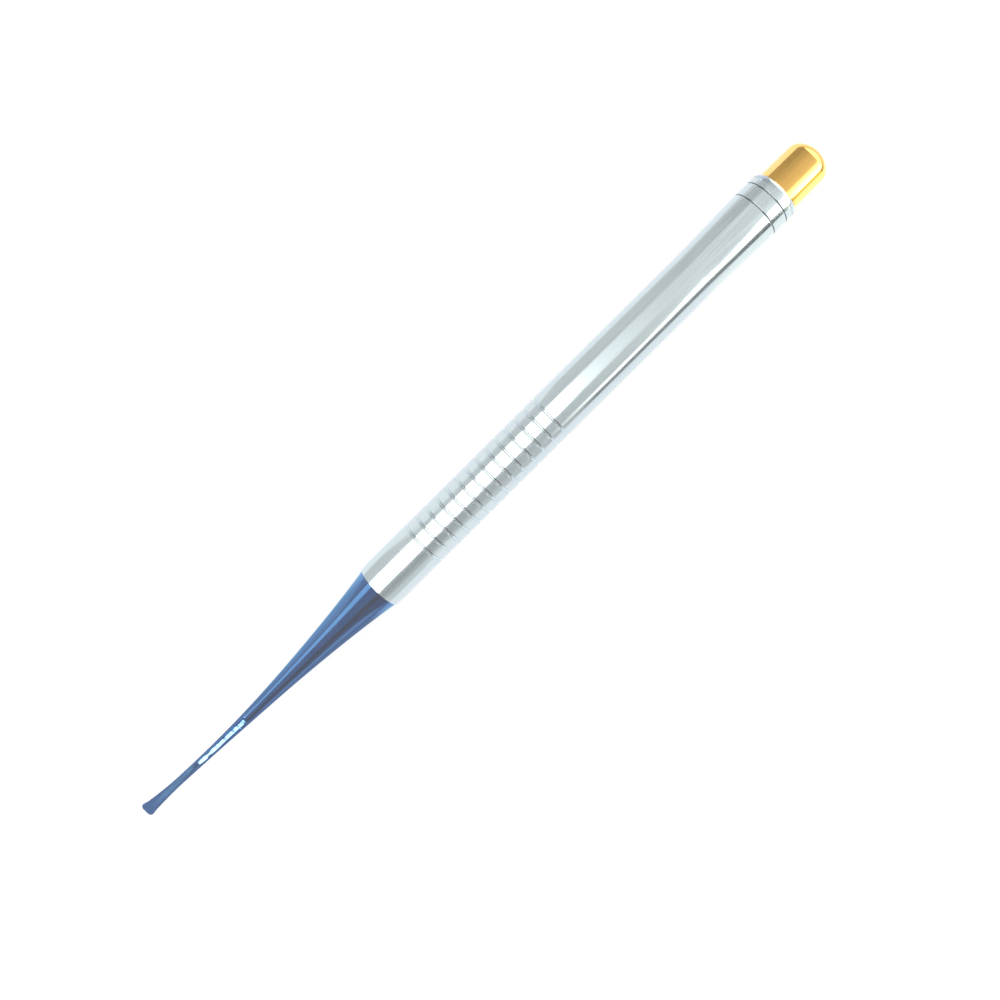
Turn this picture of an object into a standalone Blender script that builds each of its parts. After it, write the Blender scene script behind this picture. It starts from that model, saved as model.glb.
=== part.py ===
"""A dental luxator at its real size: a blue-coated blade, a turned steel handle and a gold end cap.

Units are metres and +Z is up. The instrument lies along X, with its working end towards -X and
its end cap towards +X. The origin is on the axis, in the middle of the grip grooves. The hollow
face of the blade looks up.
"""

import math

import bmesh
import bpy

# Handle: the barrel
HANDLE_LENGTH = 0.1038
HANDLE_DIAMETER = 0.0095
BORE_DIAMETER = 0.0060
BORE_CHAMFER = 0.00025
NOSE_RISE = 0.00026
NOSE_LENGTH = 0.0016

# Handle: the swell and the rounded edge at the butt
BUTT_DIAMETER = 0.01014
SWELL_LENGTH = 0.0175
SWELL_POWER = 1.5
BUTT_LAND = 0.0040
BUTT_EDGE_LENGTH = 0.0013
BUTT_EDGE_DROP = 0.00050

# Handle: the grip grooves, which are centred on the origin
GROOVE_COUNT = 14
GROOVE_PITCH = 0.002526
GROOVE_WIDTH = 0.00064
GROOVE_DEPTH = 0.00018
FRONT_LAND = 0.0119

# Handle: the fine rings, as distances in front of its rear face
RING_SETBACKS = (0.00580, 0.00268)
RING_WIDTH = 0.00030
RING_DEPTH = 0.00011

# Blade: lengths, measured back from the cutting end
BLADE_LENGTH = 0.06015
NECK_SETBACK = 0.0090
ROUND_SETBACK = 0.0200
FLUTE_FLAT_START = 0.0133
FLUTE_END = 0.0249
FLUTE_RUNOUT = 0.0007
BEND_LENGTH = 0.0300

# Blade: sections
NECK_DIAMETER = 0.00141
CONE_DIAMETER = 0.0089
CONE_EDGE = 0.0001
FLARE = 0.00061
FLARE_POWER = 2
FLUTE_WIDTH = 0.00093
BEND = 0.00095
BEND_POWER = 1.7
EDGE_BELOW = 0.00020
EDGE_ABOVE = 0.00012
EDGE_FLOOR = -0.00012
FLUTE_FALL_POWER = 1.35
FLUTE_RIM = 0.00014
CORNER_PLUS_Y = 0.00045
CORNER_MINUS_Y = 0.00085
CORNER_REACH = 0.0018

# Blade: how its rounding fills out behind the cutting end, above and below
ROUND_ABOVE_POWER = 0.8
ROUND_BELOW_POWER = 0.75
CREASE_FADE_POWER = 0.7

# Blade: the trumpet of the cone, as shares of a straight, a square and a late, steep rise
CONE_STRAIGHT_SHARE = 0.02
CONE_SQUARE_SHARE = 0.94
CONE_LATE_SHARE = 0.04
CONE_LATE_POWER = 16

# Blade: the tang inside the handle
TANG_LENGTH = 0.0160
TANG_CHAMFER = 0.0004

# End cap
CAP_LENGTH = 0.01064
CAP_DIAMETER = 0.00912
CAP_TAPER = 0.00007
CAP_DOME = 0.0032
CAP_EDGE = 0.00008
SPIGOT_LENGTH = 0.0090
SPIGOT_CHAMFER = 0.0004

# Fits: the clearance round a seated piece, and the joint line at its shoulder
SEAT_CLEARANCE = 0.00008
JOINT_GAP = 0.00008

# Facets
TURNED_STEPS = 36
GROOVE_FACETS = 5
RING_FACETS = 3
EDGE_FACETS = 5
SWELL_FACETS = 10
DOME_FACETS = 12
FLUTE_FACETS = 8
CORNER_STATIONS = 8
FLAT_STATIONS = 10
FLUTE_STATIONS = 5
RUNOUT_STATIONS = 4
CONE_STATIONS = 16
CONE_SPACING = 0.85
HALVINGS = 40
FLUTE_ARC = math.radians(80)
SHARP_ANGLE = math.radians(28)
MERGE = 0.000001

# Places that follow from the sizes above
HANDLE_RADIUS = HANDLE_DIAMETER / 2
BUTT_RADIUS = BUTT_DIAMETER / 2
BORE_RADIUS = BORE_DIAMETER / 2
GRIP_HALF = (GROOVE_COUNT - 1) * GROOVE_PITCH / 2
HANDLE_FRONT = -GRIP_HALF - FRONT_LAND
HANDLE_REAR = HANDLE_FRONT + HANDLE_LENGTH
BLADE_END = HANDLE_FRONT - BLADE_LENGTH
SEATED_RADIUS = BORE_RADIUS - SEAT_CLEARANCE


def clear_scene():
    for thing in list(bpy.data.objects):
        bpy.data.objects.remove(thing, do_unlink=True)


def metal(name, colour, roughness):
    """A plain metal finish."""
    material = bpy.data.materials.new(name)
    material.use_nodes = True
    shader = material.node_tree.nodes["Principled BSDF"]
    shader.inputs["Base Color"].default_value = (*colour, 1.0)
    shader.inputs["Metallic"].default_value = 1.0
    shader.inputs["Roughness"].default_value = roughness
    return material


def shade(mesh):
    """Smooth shading that keeps turned and ground edges crisp."""
    mesh.shade_smooth()
    mesh.set_sharp_from_angle(angle=SHARP_ANGLE)


def place(thing, collection, parent, material):
    collection.objects.link(thing)
    thing.parent = parent
    thing.data.materials.append(material)


def round_over(z0, r0, z1, r1, steps):
    """A quarter of an ellipse from (z0, r0) to (z1, r1) that leaves the first point along the axis."""
    points = []
    for i in range(steps + 1):
        turn = math.pi / 2 * i / steps
        points.append((z0 + (z1 - z0) * math.sin(turn), r1 + (r0 - r1) * math.cos(turn)))
    return points


def groove(middle, width, depth, steps):
    """A round-bottomed groove, as (height, drop below the barrel) from its rear edge to its front edge."""
    ball = (width**2 / 4 + depth**2) / (2 * depth)
    half_turn = math.asin(min(1.0, width / 2 / ball))
    points = []
    for i in range(steps + 1):
        turn = half_turn * (1 - 2 * i / steps)
        points.append((middle + ball * math.sin(turn), ball * math.cos(turn) - (ball - depth)))
    return points


def turned(name, profile, closed):
    """A body turned about its own Z axis from (height, radius) points, whose outer side runs downwards."""
    mesh = bpy.data.meshes.new(name)
    shape = bmesh.new()
    corners = [shape.verts.new((radius, 0.0, height)) for height, radius in profile]
    for start, end in zip(corners, corners[1:]):
        shape.edges.new((start, end))
    if closed:
        shape.edges.new((corners[-1], corners[0]))
    shape.to_mesh(mesh)
    shape.free()
    thing = bpy.data.objects.new(name, mesh)
    bpy.context.scene.collection.objects.link(thing)
    screw = thing.modifiers.new("turning", "SCREW")
    screw.steps = TURNED_STEPS
    screw.render_steps = TURNED_STEPS
    screw.use_merge_vertices = True
    screw.merge_threshold = MERGE
    screw.use_smooth_shade = True
    graph = bpy.context.evaluated_depsgraph_get()
    finished = bpy.data.meshes.new_from_object(thing.evaluated_get(graph))
    bpy.data.objects.remove(thing, do_unlink=True)
    bpy.data.meshes.remove(mesh)
    finished.name = name
    shade(finished)
    lying = bpy.data.objects.new(name, finished)
    lying.rotation_euler = (0.0, math.pi / 2, 0.0)
    return lying


def barrel_radius(height):
    """The handle's radius at a height above its front face, before any groove is cut."""
    swell_start = HANDLE_LENGTH - BUTT_LAND - SWELL_LENGTH
    share = min(1.0, max(0.0, (height - swell_start) / SWELL_LENGTH))
    return HANDLE_RADIUS + (BUTT_RADIUS - HANDLE_RADIUS) * math.sin(math.pi / 2 * share) ** SWELL_POWER


def handle_profile():
    """The barrel's section, from its rear edge forwards, and back through the bore."""
    cuts = [(HANDLE_LENGTH - setback, RING_WIDTH, RING_DEPTH, RING_FACETS) for setback in RING_SETBACKS]
    first_groove = -HANDLE_FRONT - GRIP_HALF
    for i in range(GROOVE_COUNT):
        cuts.append((first_groove + i * GROOVE_PITCH, GROOVE_WIDTH, GROOVE_DEPTH, GROOVE_FACETS))
    barrel = []
    for middle, width, depth, facets in cuts:
        barrel += groove(middle, width, depth, facets)
    for i in range(SWELL_FACETS + 1):
        height = HANDLE_LENGTH - BUTT_LAND - SWELL_LENGTH * i / SWELL_FACETS
        if all(abs(height - middle) > width for middle, width, depth, facets in cuts):
            barrel.append((height, 0.0))
    barrel.sort(reverse=True)

    rear_edge = round_over(
        HANDLE_LENGTH - BUTT_EDGE_LENGTH, BUTT_RADIUS,
        HANDLE_LENGTH, BUTT_RADIUS - BUTT_EDGE_DROP, EDGE_FACETS)
    nose = round_over(NOSE_LENGTH, HANDLE_RADIUS, 0.0, HANDLE_RADIUS - NOSE_RISE, EDGE_FACETS)
    bore = [
        (0.0, BORE_RADIUS + BORE_CHAMFER),
        (BORE_CHAMFER, BORE_RADIUS),
        (HANDLE_LENGTH - BORE_CHAMFER, BORE_RADIUS),
        (HANDLE_LENGTH, BORE_RADIUS + BORE_CHAMFER),
    ]
    outside = [(height, barrel_radius(height) - drop) for height, drop in barrel]
    return rear_edge[::-1] + outside + nose + bore


def cap_profile():
    """The cap from its domed end down to its shoulder, and on down its spigot."""
    base = CAP_DIAMETER / 2
    dome_foot = CAP_LENGTH - CAP_DOME
    dome = round_over(dome_foot, base - CAP_TAPER, CAP_LENGTH, 0.0, DOME_FACETS)
    return dome[::-1] + [
        (JOINT_GAP + CAP_EDGE, base),
        (JOINT_GAP, base - CAP_EDGE),
        (JOINT_GAP, SEATED_RADIUS),
        (SPIGOT_CHAMFER - SPIGOT_LENGTH, SEATED_RADIUS),
        (-SPIGOT_LENGTH, SEATED_RADIUS - SPIGOT_CHAMFER),
        (-SPIGOT_LENGTH, 0.0),
    ]


def shank_radius(back):
    """The round body of the blade: a thin neck that opens like a trumpet into the cone."""
    share = max(0.0, (back - NECK_SETBACK) / (BLADE_LENGTH - NECK_SETBACK))
    flare = (
        CONE_STRAIGHT_SHARE * share
        + CONE_SQUARE_SHARE * share**2
        + CONE_LATE_SHARE * share**CONE_LATE_POWER
    )
    return (NECK_DIAMETER + (CONE_DIAMETER - NECK_DIAMETER) * flare) / 2


def half_width(back):
    """Half the width seen from above: the shank, and the flare towards the cutting end."""
    share = max(0.0, 1 - back / NECK_SETBACK)
    return shank_radius(back) + FLARE * share**FLARE_POWER


def ease(value, end, power):
    """A share that rises from 0 at the cutting end to 1 at the given setback."""
    return min(1.0, max(0.0, value / end)) ** power


def flute_floor(back):
    """The height of the bottom of the hollow-ground flute."""
    half = FLUTE_WIDTH / 2
    flat = math.sqrt(max(0.0, shank_radius(FLUTE_FLAT_START) ** 2 - half**2))
    if back < FLUTE_FLAT_START:
        fall = (1 - back / FLUTE_FLAT_START) ** FLUTE_FALL_POWER
        return EDGE_FLOOR + (flat - EDGE_FLOOR) * (1 - fall)
    floor = math.sqrt(max(0.0, shank_radius(back) ** 2 - half**2))
    lift = max(0.0, (back - FLUTE_END + FLUTE_RUNOUT) / FLUTE_RUNOUT)
    return floor + (shank_radius(back) - floor) * lift**2


def flute_height(back, across):
    """The hollow face at a distance from the middle of the blade."""
    deepening = FLUTE_RIM * (1 - ease(back, FLUTE_FLAT_START, 1.0)) / (FLARE + NECK_DIAMETER / 2) ** 2
    return flute_floor(back) + deepening * across**2


def section(back, flute_facets, under_facets):
    """The blade's section at a distance back from its cutting end, as (y, z) points from +Y round over the top."""
    wide = half_width(back)
    over = EDGE_ABOVE + (shank_radius(back) - EDGE_ABOVE) * ease(back, ROUND_SETBACK / 2, ROUND_ABOVE_POWER)
    under = EDGE_BELOW + (shank_radius(back) - EDGE_BELOW) * ease(back, ROUND_SETBACK, ROUND_BELOW_POWER)

    def above_flute(turn):
        return over * math.sin(turn) - flute_height(back, wide * math.cos(turn))

    rim = (math.pi - FLUTE_ARC) / 2
    if back < FLUTE_END and above_flute(math.pi / 2) > 0:
        low, high = 0.0, math.pi / 2
        for _ in range(HALVINGS):
            middle = (low + high) / 2
            low, high = (low, middle) if above_flute(middle) > 0 else (middle, high)
        rim = high
    else:
        settle = ease(back - FLUTE_END, BLADE_LENGTH - FLUTE_END, CREASE_FADE_POWER)
        edge = math.acos(min(1.0, FLUTE_WIDTH / 2 / shank_radius(FLUTE_END)))
        rim = edge + (rim - edge) * settle
    points = []
    for i in range(flute_facets + 1):
        turn = rim + (math.pi - 2 * rim) * i / flute_facets
        across = wide * math.cos(turn)
        points.append((across, min(over * math.sin(turn), flute_height(back, across))))
    for i in range(1, under_facets):
        turn = math.pi - rim + (math.pi + 2 * rim) * i / under_facets
        high = over if math.sin(turn) > 0 else under
        points.append((wide * math.cos(turn), high * math.sin(turn)))
    return points


def end_setback(across):
    """How far the cutting end is cut back at a place across it, from -1 to 1, by its rounded corners."""
    half = half_width(0.0)
    corner = CORNER_PLUS_Y if across > 0 else CORNER_MINUS_Y
    into = max(0.0, abs(across) - (1 - corner / half)) * half / corner
    return corner * (1 - math.sqrt(max(0.0, 1 - into**2)))


def bend(back):
    """The gentle sideways curve of the working end."""
    return BEND * (1 - ease(back, BEND_LENGTH, 1.0)) ** BEND_POWER


def steps(start, end, count, power=1.0):
    """Places after start, up to and including end."""
    return [start + (end - start) * (i / count) ** power for i in range(1, count + 1)]


def blade_stations():
    """Distances back from the cutting end at which a section is drawn."""
    straight_end = FLUTE_END - FLUTE_RUNOUT
    cone_end = BLADE_LENGTH - JOINT_GAP - CONE_EDGE
    return (
        [0.0]
        + steps(0.0, CORNER_REACH, CORNER_STATIONS)
        + steps(CORNER_REACH, FLUTE_FLAT_START, FLAT_STATIONS)
        + steps(FLUTE_FLAT_START, straight_end, FLUTE_STATIONS)
        + steps(straight_end, FLUTE_END, RUNOUT_STATIONS)
        + steps(FLUTE_END, cone_end, CONE_STATIONS, CONE_SPACING)
    )


def loft(shape, rings):
    """Quads between neighbouring rings of the same number of corners."""
    for first, second in zip(rings, rings[1:]):
        count = len(first)
        for i in range(count):
            j = (i + 1) % count
            shape.faces.new((first[i], second[i], second[j], first[j]))


def blade_object():
    """One loft from the crescent of the cutting end, through the round cone, to the tang."""
    shape = bmesh.new()
    under_facets = TURNED_STEPS - FLUTE_FACETS
    rings = []
    for back in blade_stations():
        ring = []
        for across, height in section(back, FLUTE_FACETS, under_facets):
            share = across / half_width(back)
            corner = end_setback(share) * max(0.0, 1 - back / CORNER_REACH)
            ring.append(shape.verts.new((back + corner, across + bend(back), height)))
        rings.append(ring)
    cone = CONE_DIAMETER / 2
    shoulder = BLADE_LENGTH - JOINT_GAP
    tang_end = BLADE_LENGTH + TANG_LENGTH
    for back, radius in (
        (shoulder, cone - CONE_EDGE),
        (shoulder, SEATED_RADIUS),
        (tang_end - TANG_CHAMFER, SEATED_RADIUS),
        (tang_end, SEATED_RADIUS - TANG_CHAMFER),
    ):
        start = (math.pi - FLUTE_ARC) / 2
        turns = [start + 2 * math.pi * i / TURNED_STEPS for i in range(TURNED_STEPS)]
        rings.append([
            shape.verts.new((back, radius * math.cos(turn), radius * math.sin(turn))) for turn in turns
        ])
    loft(shape, rings)
    shape.faces.new(rings[-1])
    cutting_end = [edge for edge in shape.edges if edge.is_boundary]
    bmesh.ops.triangle_fill(shape, use_beauty=True, edges=cutting_end)
    bmesh.ops.recalc_face_normals(shape, faces=shape.faces)
    mesh = bpy.data.meshes.new("blade")
    shape.to_mesh(mesh)
    shape.free()
    shade(mesh)
    return bpy.data.objects.new("blade", mesh)


def build():
    clear_scene()
    parts = bpy.data.collections.new("luxator")
    bpy.context.scene.collection.children.link(parts)
    centre = bpy.data.objects.new("grip_centre", None)
    centre.empty_display_size = HANDLE_DIAMETER
    parts.objects.link(centre)

    steel = metal("polished_steel", (0.68, 0.70, 0.71), 0.22)
    blue = metal("blue_coating", (0.10, 0.17, 0.36), 0.24)
    gold = metal("gold_finish", (0.85, 0.56, 0.21), 0.16)

    handle = turned("handle", handle_profile(), closed=True)
    handle.location = (HANDLE_FRONT, 0.0, 0.0)
    place(handle, parts, centre, steel)

    blade = blade_object()
    blade.location = (BLADE_END, 0.0, 0.0)
    place(blade, parts, centre, blue)

    cap = turned("end_cap", cap_profile(), closed=False)
    cap.location = (HANDLE_REAR, 0.0, 0.0)
    place(cap, parts, centre, gold)


build()
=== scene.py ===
# %% [markdown]
# # A dental luxator, dressed for its portrait
#
# A luxator is a slim hand instrument that a dentist slides into the gap beside a tooth. It has
# three visible pieces: a blue-coated blade that opens backwards into a cone, a turned steel
# handle with fine grip grooves, and a gold-finished cap on the butt. The imported model already has
# all three at their true size. This lesson builds a finer skin for each of them, gives each its
# metal, and lights them as the photograph does.
#
# The imported model is loaded first, as a fixed frame, and its outer box is kept.

# %% Load the imported model
import math

import bmesh
import bpy
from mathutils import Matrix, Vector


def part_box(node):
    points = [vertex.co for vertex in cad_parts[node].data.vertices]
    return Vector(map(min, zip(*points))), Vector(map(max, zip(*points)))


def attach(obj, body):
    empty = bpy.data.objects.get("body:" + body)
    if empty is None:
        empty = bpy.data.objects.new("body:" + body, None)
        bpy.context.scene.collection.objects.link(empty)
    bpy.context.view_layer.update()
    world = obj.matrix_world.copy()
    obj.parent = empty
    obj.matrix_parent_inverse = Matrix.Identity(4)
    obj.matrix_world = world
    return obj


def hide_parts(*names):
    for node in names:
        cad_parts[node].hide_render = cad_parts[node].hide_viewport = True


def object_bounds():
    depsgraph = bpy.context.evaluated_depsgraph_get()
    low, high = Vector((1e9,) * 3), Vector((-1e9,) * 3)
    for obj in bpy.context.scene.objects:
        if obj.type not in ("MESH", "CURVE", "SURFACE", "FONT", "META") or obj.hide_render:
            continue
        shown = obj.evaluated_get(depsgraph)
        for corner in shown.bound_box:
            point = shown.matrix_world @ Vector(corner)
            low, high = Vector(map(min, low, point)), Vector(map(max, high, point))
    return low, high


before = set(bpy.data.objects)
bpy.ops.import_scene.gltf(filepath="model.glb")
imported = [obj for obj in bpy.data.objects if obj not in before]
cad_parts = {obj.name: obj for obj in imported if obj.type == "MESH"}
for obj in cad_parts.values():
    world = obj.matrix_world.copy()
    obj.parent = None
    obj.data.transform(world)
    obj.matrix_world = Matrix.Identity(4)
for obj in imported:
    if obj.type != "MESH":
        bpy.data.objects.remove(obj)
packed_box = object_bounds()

print("nodes:", sorted(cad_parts))
print("box in mm:", [round(1000 * x, 2) for corner in packed_box for x in corner])

# %% [markdown]
# ## Where each piece begins and ends
#
# The instrument lies along X: the cutting end points to -X and the cap to +X. The hollow face of
# the blade looks up, to +Z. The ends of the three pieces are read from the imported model, and not
# written here a second time.

# %% Read the ends of the pieces
MM = 0.001
blade_low, blade_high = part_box("blade")
handle_low, handle_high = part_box("handle")
cap_low, cap_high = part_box("end_cap")

TIP = blade_low.x
HANDLE_FRONT = handle_low.x
HANDLE_REAR = handle_high.x
CAP_END = cap_high.x
print("tip, handle front, handle rear, cap end in mm:",
      [round(x / MM, 2) for x in (TIP, HANDLE_FRONT, HANDLE_REAR, CAP_END)])

# %% [markdown]
# ## A lathe
#
# The handle and the cap are turned parts: every cut across them is a circle. On a lathe the tool
# follows a profile while the bar spins. The same idea works here: a list of (place along X,
# radius) points is carried round the X axis in small steps. Blender's Screw modifier or a spin
# could do this too. Writing the corners directly gives even quads and a mesh that is certainly
# closed, and it is fast.

# %% Turn a profile about the X axis
SHARP_ANGLE = math.radians(30)
LATHE_SEGMENTS = 160
ON_AXIS = 1e-9


def finish_mesh(name, shape):
    """Turns a shape into a piece: faces outwards, smooth, and crisp only at real corners."""
    bmesh.ops.recalc_face_normals(shape, faces=shape.faces)
    open_edges = sum(1 for edge in shape.edges if not edge.is_manifold)
    mesh = bpy.data.meshes.new(name)
    shape.to_mesh(mesh)
    shape.free()
    mesh.shade_smooth()
    mesh.set_sharp_from_angle(angle=SHARP_ANGLE)
    piece = bpy.data.objects.new(name, mesh)
    bpy.context.scene.collection.objects.link(piece)
    triangles = sum(len(face.vertices) - 2 for face in mesh.polygons)
    print(f"{name}: {triangles} triangles, {open_edges} open edges")
    return piece


def circle_of_corners(shape, x, radius, turns):
    """Corners on a circle about the X axis, one at each of the angles."""
    return [shape.verts.new((x, radius * math.cos(turn), radius * math.sin(turn)))
            for turn in turns]


def join_rings(shape, rings):
    """Faces between each ring and the next. Where a ring is a single point, they are triangles."""
    count = len(rings[0])
    for first, second in zip(rings, rings[1:]):
        for i in range(count):
            j = (i + 1) % count
            corners = [first[i], second[i], second[j], first[j]]
            shape.faces.new(list(dict.fromkeys(corners)))


def turn_on_lathe(name, profile):
    """Carries (x, radius) points round the X axis. A profile that starts off the axis is a loop."""
    shape = bmesh.new()
    turns = [2 * math.pi * i / LATHE_SEGMENTS for i in range(LATHE_SEGMENTS)]
    rings = []
    for x, radius in profile:
        if radius < ON_AXIS:
            rings.append([shape.verts.new((x, 0.0, 0.0))] * LATHE_SEGMENTS)
        else:
            rings.append(circle_of_corners(shape, x, radius, turns))
    if profile[0][1] > ON_AXIS:
        rings.append(rings[0])
    join_rings(shape, rings)
    return finish_mesh(name, shape)


def quarter_round(x0, r0, x1, r1, steps):
    """A quarter of an ellipse: it leaves (x0, r0) along the axis and meets (x1, r1) squarely."""
    points = []
    for i in range(steps + 1):
        turn = math.pi / 2 * i / steps
        points.append((x0 + (x1 - x0) * math.sin(turn), r1 + (r0 - r1) * math.cos(turn)))
    return points


print("a quarter round of size 1 in two steps:",
      [(round(x, 2), round(r, 2)) for x, r in quarter_round(0, 1, 1, 0, 2)])

# %% [markdown]
# ## The handle's barrel
#
# The handle is a steel tube, 9.5 mm across. At the butt it swells very slightly, which stops the
# hand from sliding off. A straight cylinder would look almost the same in outline, but the long
# reflections would run past the swell without opening, and in the photograph they open. So the
# barrel's radius is a function of the place along it.

# %% The barrel's radius
BARREL_RADIUS = 4.75 * MM
BUTT_RADIUS = handle_high.z
BUTT_LAND = 4.0 * MM
SWELL_LENGTH = 17.5 * MM
SWELL_START = HANDLE_REAR - BUTT_LAND - SWELL_LENGTH
SWELL_POWER = 1.5


def barrel_radius(x):
    """The handle's radius at a place along it, before any groove is cut."""
    share = min(1.0, max(0.0, (x - SWELL_START) / SWELL_LENGTH))
    swell = math.sin(math.pi / 2 * share) ** SWELL_POWER
    return BARREL_RADIUS + (BUTT_RADIUS - BARREL_RADIUS) * swell


print("radius at the front, and at the butt in mm:",
      round(barrel_radius(HANDLE_FRONT) / MM, 3), round(barrel_radius(HANDLE_REAR) / MM, 3))

# %% [markdown]
# ## The grip grooves
#
# Fourteen narrow grooves give the fingers a hold. Each is cut with a round-nosed tool, so its
# floor is part of a circle. Where such a floor meets the barrel there would be a knife edge, and
# polishing always takes that off: the lips are rolled. Those rolled lips catch the light, so they
# are modelled as arcs of their own, and not left to a bump map.

# %% A round-nosed groove with rolled lips
GROOVE_COUNT = 14
GROOVE_PITCH = 2.526 * MM
GROOVE_HALF_WIDTH = 0.29 * MM
GROOVE_DEPTH = 0.22 * MM
GROOVE_LIP = 0.03 * MM
GROOVE_STEPS = (16, 4)  # in the floor, and in each lip
FIRST_GROOVE = -(GROOVE_COUNT - 1) * GROOVE_PITCH / 2


def round_groove(middle, half_width, depth, lip, floor_steps, lip_steps):
    """A groove as (x, drop below the barrel) points, from its front lip to its rear lip."""
    nose = (half_width**2 + depth**2) / (2 * depth)
    reach = math.sqrt(depth * (2 * nose + 2 * lip - depth))
    steepest = math.atan2(reach, nose - depth + lip)
    points = []
    for i in range(lip_steps + 1):
        turn = steepest * i / lip_steps
        points.append((middle - reach + lip * math.sin(turn), lip * (1 - math.cos(turn))))
    for i in range(1, floor_steps):
        turn = steepest * (1 - 2 * i / floor_steps)
        points.append((middle - nose * math.sin(turn), depth - nose * (1 - math.cos(turn))))
    for i in range(lip_steps + 1):
        turn = steepest * (1 - i / lip_steps)
        points.append((middle + reach - lip * math.sin(turn), lip * (1 - math.cos(turn))))
    return points


def grip_groove(number):
    """One of the grip grooves, counted from the front."""
    middle = FIRST_GROOVE + number * GROOVE_PITCH
    return round_groove(middle, GROOVE_HALF_WIDTH, GROOVE_DEPTH, GROOVE_LIP, *GROOVE_STEPS)


sample = grip_groove(0)
print("first groove in mm:", round(sample[0][0] / MM, 3), "to", round(sample[-1][0] / MM, 3),
      "with", len(sample), "points")

# %% [markdown]
# ## The handle's profile
#
# Two much finer rings are scribed near the butt. The nose is drawn in a little towards the blade,
# and the rear edge is rounded over. A straight bore runs through the handle, and the tang of the
# blade and the spigot of the cap close it. It can't be seen, but it keeps the mesh a true closed
# body. Extra points close to every lip hold the flat lands flat under smooth shading.

# %% The handle's full profile
LIP_SETBACK = 0.15 * MM
RING_SETBACKS = (5.80 * MM, 2.68 * MM)
RING_HALF_WIDTH = 0.14 * MM
RING_DEPTH = 0.12 * MM
RING_LIP = 0.02 * MM
RING_STEPS = (6, 2)  # in the floor, and in each lip
NOSE_DRAW = 0.12 * MM
NOSE_LENGTH = 2.4 * MM
NOSE_EDGE = 0.04 * MM
NOSE_STEPS = 12
BUTT_EDGE_LENGTH = 1.3 * MM
BUTT_EDGE_DROP = 0.50 * MM
BUTT_EDGE_STEPS = 14
FINE_EDGE_STEPS = 6
BORE_RADIUS = 3.0 * MM
BORE_CHAMFER = 0.25 * MM
LAND_GUARD = 0.06 * MM
BARREL_STEP = 2.0 * MM
SWELL_STEP = 0.5 * MM


def barrel_points(start, end):
    """The barrel between two places as (x, radius) points, with its grooves and rings cut."""
    cuts = [grip_groove(number) for number in range(GROOVE_COUNT)]
    for setback in RING_SETBACKS:
        cuts.append(round_groove(HANDLE_REAR - setback,
                                 RING_HALF_WIDTH, RING_DEPTH, RING_LIP, *RING_STEPS))
    drops = []
    taken = []
    for cut in cuts:
        first, last = cut[0][0], cut[-1][0]
        taken.append((first - 2 * LAND_GUARD, last + 2 * LAND_GUARD))
        drops += [(first - LAND_GUARD, 0.0)] + cut + [(last + LAND_GUARD, 0.0)]
    x = start + BARREL_STEP
    while x < end - SWELL_STEP / 2:
        if all(x < low or x > high for low, high in taken):
            drops.append((x, 0.0))
        x += SWELL_STEP if x > SWELL_START - BARREL_STEP else BARREL_STEP
    return [(x, barrel_radius(x) - drop) for x, drop in sorted(drops)]


def handle_profile():
    """The handle's outer side from nose to butt, and back through the bore."""
    front = HANDLE_FRONT + LIP_SETBACK
    rear = HANDLE_REAR - LIP_SETBACK
    start = front + NOSE_LENGTH
    end = rear - BUTT_EDGE_LENGTH
    front_radius = BARREL_RADIUS - NOSE_DRAW
    nose = []
    for i in range(NOSE_STEPS + 1):
        share = i / NOSE_STEPS
        nose.append((start - (NOSE_LENGTH - NOSE_EDGE) * share,
                     BARREL_RADIUS - NOSE_DRAW * share**2))
    nose += quarter_round(front + NOSE_EDGE, front_radius,
                          front, front_radius - NOSE_EDGE, FINE_EDGE_STEPS)[1:]
    butt = quarter_round(end, BUTT_RADIUS, rear, BUTT_RADIUS - BUTT_EDGE_DROP, BUTT_EDGE_STEPS)
    bore = [
        (rear, BORE_RADIUS + BORE_CHAMFER),
        (rear - BORE_CHAMFER, BORE_RADIUS),
        (front + BORE_CHAMFER, BORE_RADIUS),
        (front, BORE_RADIUS + BORE_CHAMFER),
    ]
    return nose[::-1] + barrel_points(start, end) + butt + bore


print("points in the handle's profile:", len(handle_profile()))

# %% [markdown]
# ## The handle, turned
#
# A polishing wheel is broad and soft. It reaches the floor of a groove but not its two walls, it
# hardly touches the rings, and it slides over the two sides of the rear edge. One material with a
# mask could show that. Here each face gets one of five material slots instead, so that a cut keeps
# a clean border however close it is seen. The four duller slots are also darker, as painted shade
# in the grooves, the rings and on the sides of the rear edge. The duller metals are made further
# down.

# %% Turn the handle and sort its faces
GROOVE_FRONT_POLISH = 0.06 * MM
GROOVE_REAR_POLISH = 0.09 * MM
GROOVE_POLISH_SIDE = 1.0 * MM
# The satin slot on the sides of the rear edge is darker: its colour there is painted shade.
SATIN_SHADED_EDGE_LENGTH = 1.20 * MM
SATIN_SHADED_EDGE_SIDE = 2.75 * MM
OUTSIDE_RADIUS = 0.9 * BARREL_RADIUS
POLISHED_SLOT, GROOVE_FRONT_SLOT, GROOVE_REAR_SLOT, RING_FLOOR_SLOT, SATIN_SHADED_EDGE_SLOT = range(5)


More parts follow.
